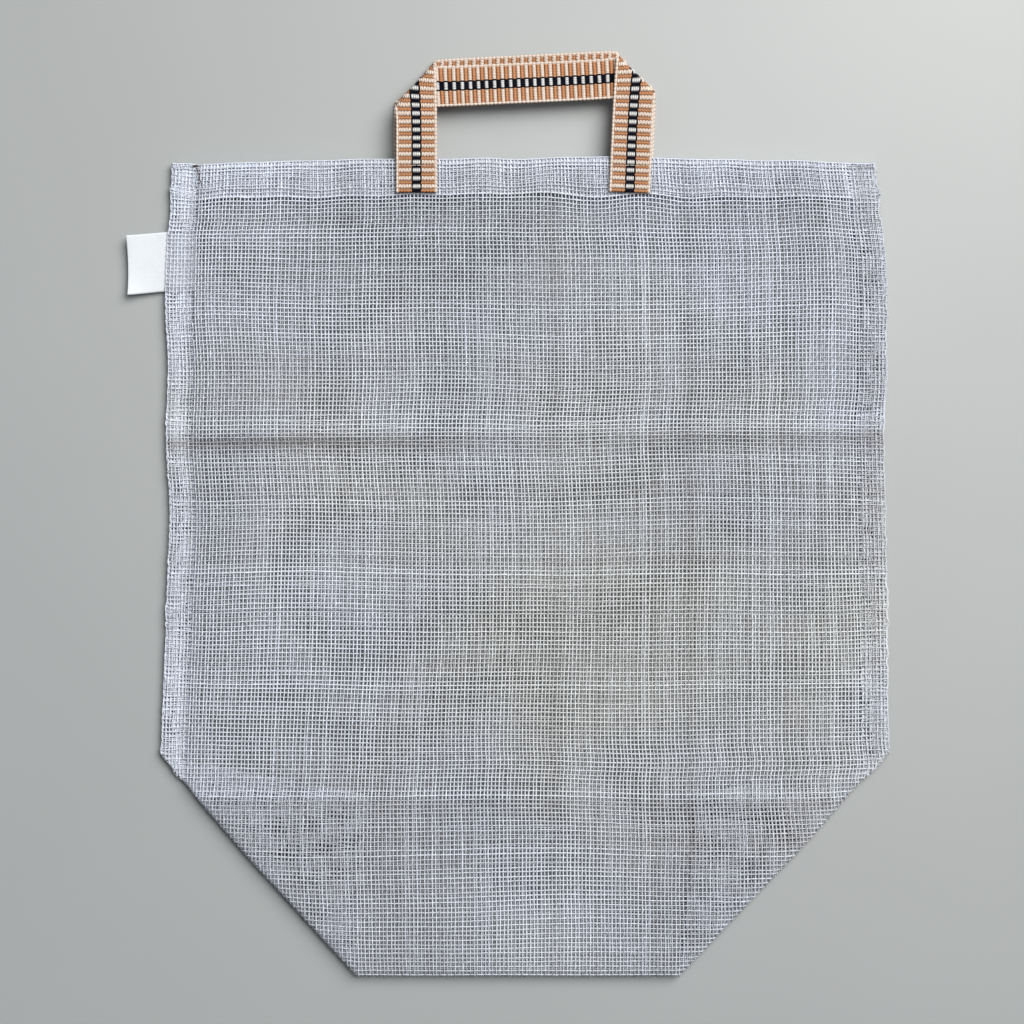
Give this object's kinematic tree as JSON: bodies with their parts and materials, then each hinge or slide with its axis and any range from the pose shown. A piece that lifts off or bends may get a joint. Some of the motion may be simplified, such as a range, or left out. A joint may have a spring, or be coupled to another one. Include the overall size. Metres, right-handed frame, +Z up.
{
  "type": "mesh produce bag",
  "caption": "Flat mesh cloth produce bag with felled side seams, tucked base corners, a hemmed mouth, woven tape handles and a side label.",
  "frame": {"origin": "centre of the bag's body on the surface that the empty bag lies on", "axes": "+Y from the bottom fold to the mouth and the handles, +Z up through the front panel, +X to the right seen from the front"},
  "size_m": [0.3804, 0.4636, 0.0106],
  "materials": {
    "mesh_cloth": "open plain-weave gauze, matt",
    "handle_tape": "ribbed cotton tape in terracotta and cream with a black and white centre stripe",
    "label_cloth": "smooth white tape, blank",
    "sewing_thread": "spun thread, matt",
    "dark_thread": "spun thread, matt"
  },
  "bodies": {
    "mouth_section": {"front_panel_mouth": "mesh_cloth", "back_panel_mouth": "mesh_cloth", "left_seam_mouth": "mesh_cloth", "right_seam_mouth": "mesh_cloth", "front_hem": "mesh_cloth", "back_hem": "mesh_cloth", "front_left_foot": "handle_tape", "front_right_foot": "handle_tape", "back_left_foot": "handle_tape", "back_right_foot": "handle_tape", "front_left_tack": "sewing_thread", "front_right_tack": "sewing_thread", "back_left_tack": "sewing_thread", "back_right_tack": "sewing_thread", "front_hem_stitch": "sewing_thread", "back_hem_stitch": "sewing_thread", "left_stitch_mouth": "sewing_thread", "right_stitch_mouth": "sewing_thread", "label_tail": "label_cloth", "thread_tail": "dark_thread"},
    "middle_section": {"front_panel_middle": "mesh_cloth", "back_panel_middle": "mesh_cloth", "left_seam_middle": "mesh_cloth", "right_seam_middle": "mesh_cloth", "left_shoulder_fold": "mesh_cloth", "right_shoulder_fold": "mesh_cloth", "left_stitch_middle": "sewing_thread", "right_stitch_middle": "sewing_thread"},
    "base_section": {"front_panel_base": "mesh_cloth", "back_panel_base": "mesh_cloth", "left_corner_tuck": "mesh_cloth", "right_corner_tuck": "mesh_cloth", "bottom_fold": "mesh_cloth"},
    "front_handle": {"front_handle_loop": "handle_tape"},
    "back_handle": {"back_handle_loop": "handle_tape"},
    "side_label": {"label": "label_cloth"}
  },
  "joints": [
    {"name": "upper_fold", "type": "hinge", "parent": "middle_section", "child": "mouth_section", "pos_m": [0, 0.068, 0.0114], "axis": [1, 0, 0], "range_deg": [0, 179]},
    {"name": "lower_fold", "type": "hinge", "parent": "middle_section", "child": "base_section", "pos_m": [0, -0.113, -0.0004], "axis": [1, 0, 0], "range_deg": [0, 179]},
    {"name": "front_handle_swing", "type": "hinge", "parent": "mouth_section", "child": "front_handle", "pos_m": [0, 0.20375, 0.0107], "axis": [1, 0, 0], "range_deg": [0, 179]},
    {"name": "back_handle_swing", "type": "hinge", "parent": "mouth_section", "child": "back_handle", "pos_m": [0, 0.20375, -0.0001], "axis": [-1, 0, 0], "range_deg": [0, 179]},
    {"name": "label_flap", "type": "hinge", "parent": "mouth_section", "child": "side_label", "pos_m": [-0.17807, 0.1533, 0.0012], "axis": [0, 1, 0], "range_deg": [-90, 70]}
  ]
}
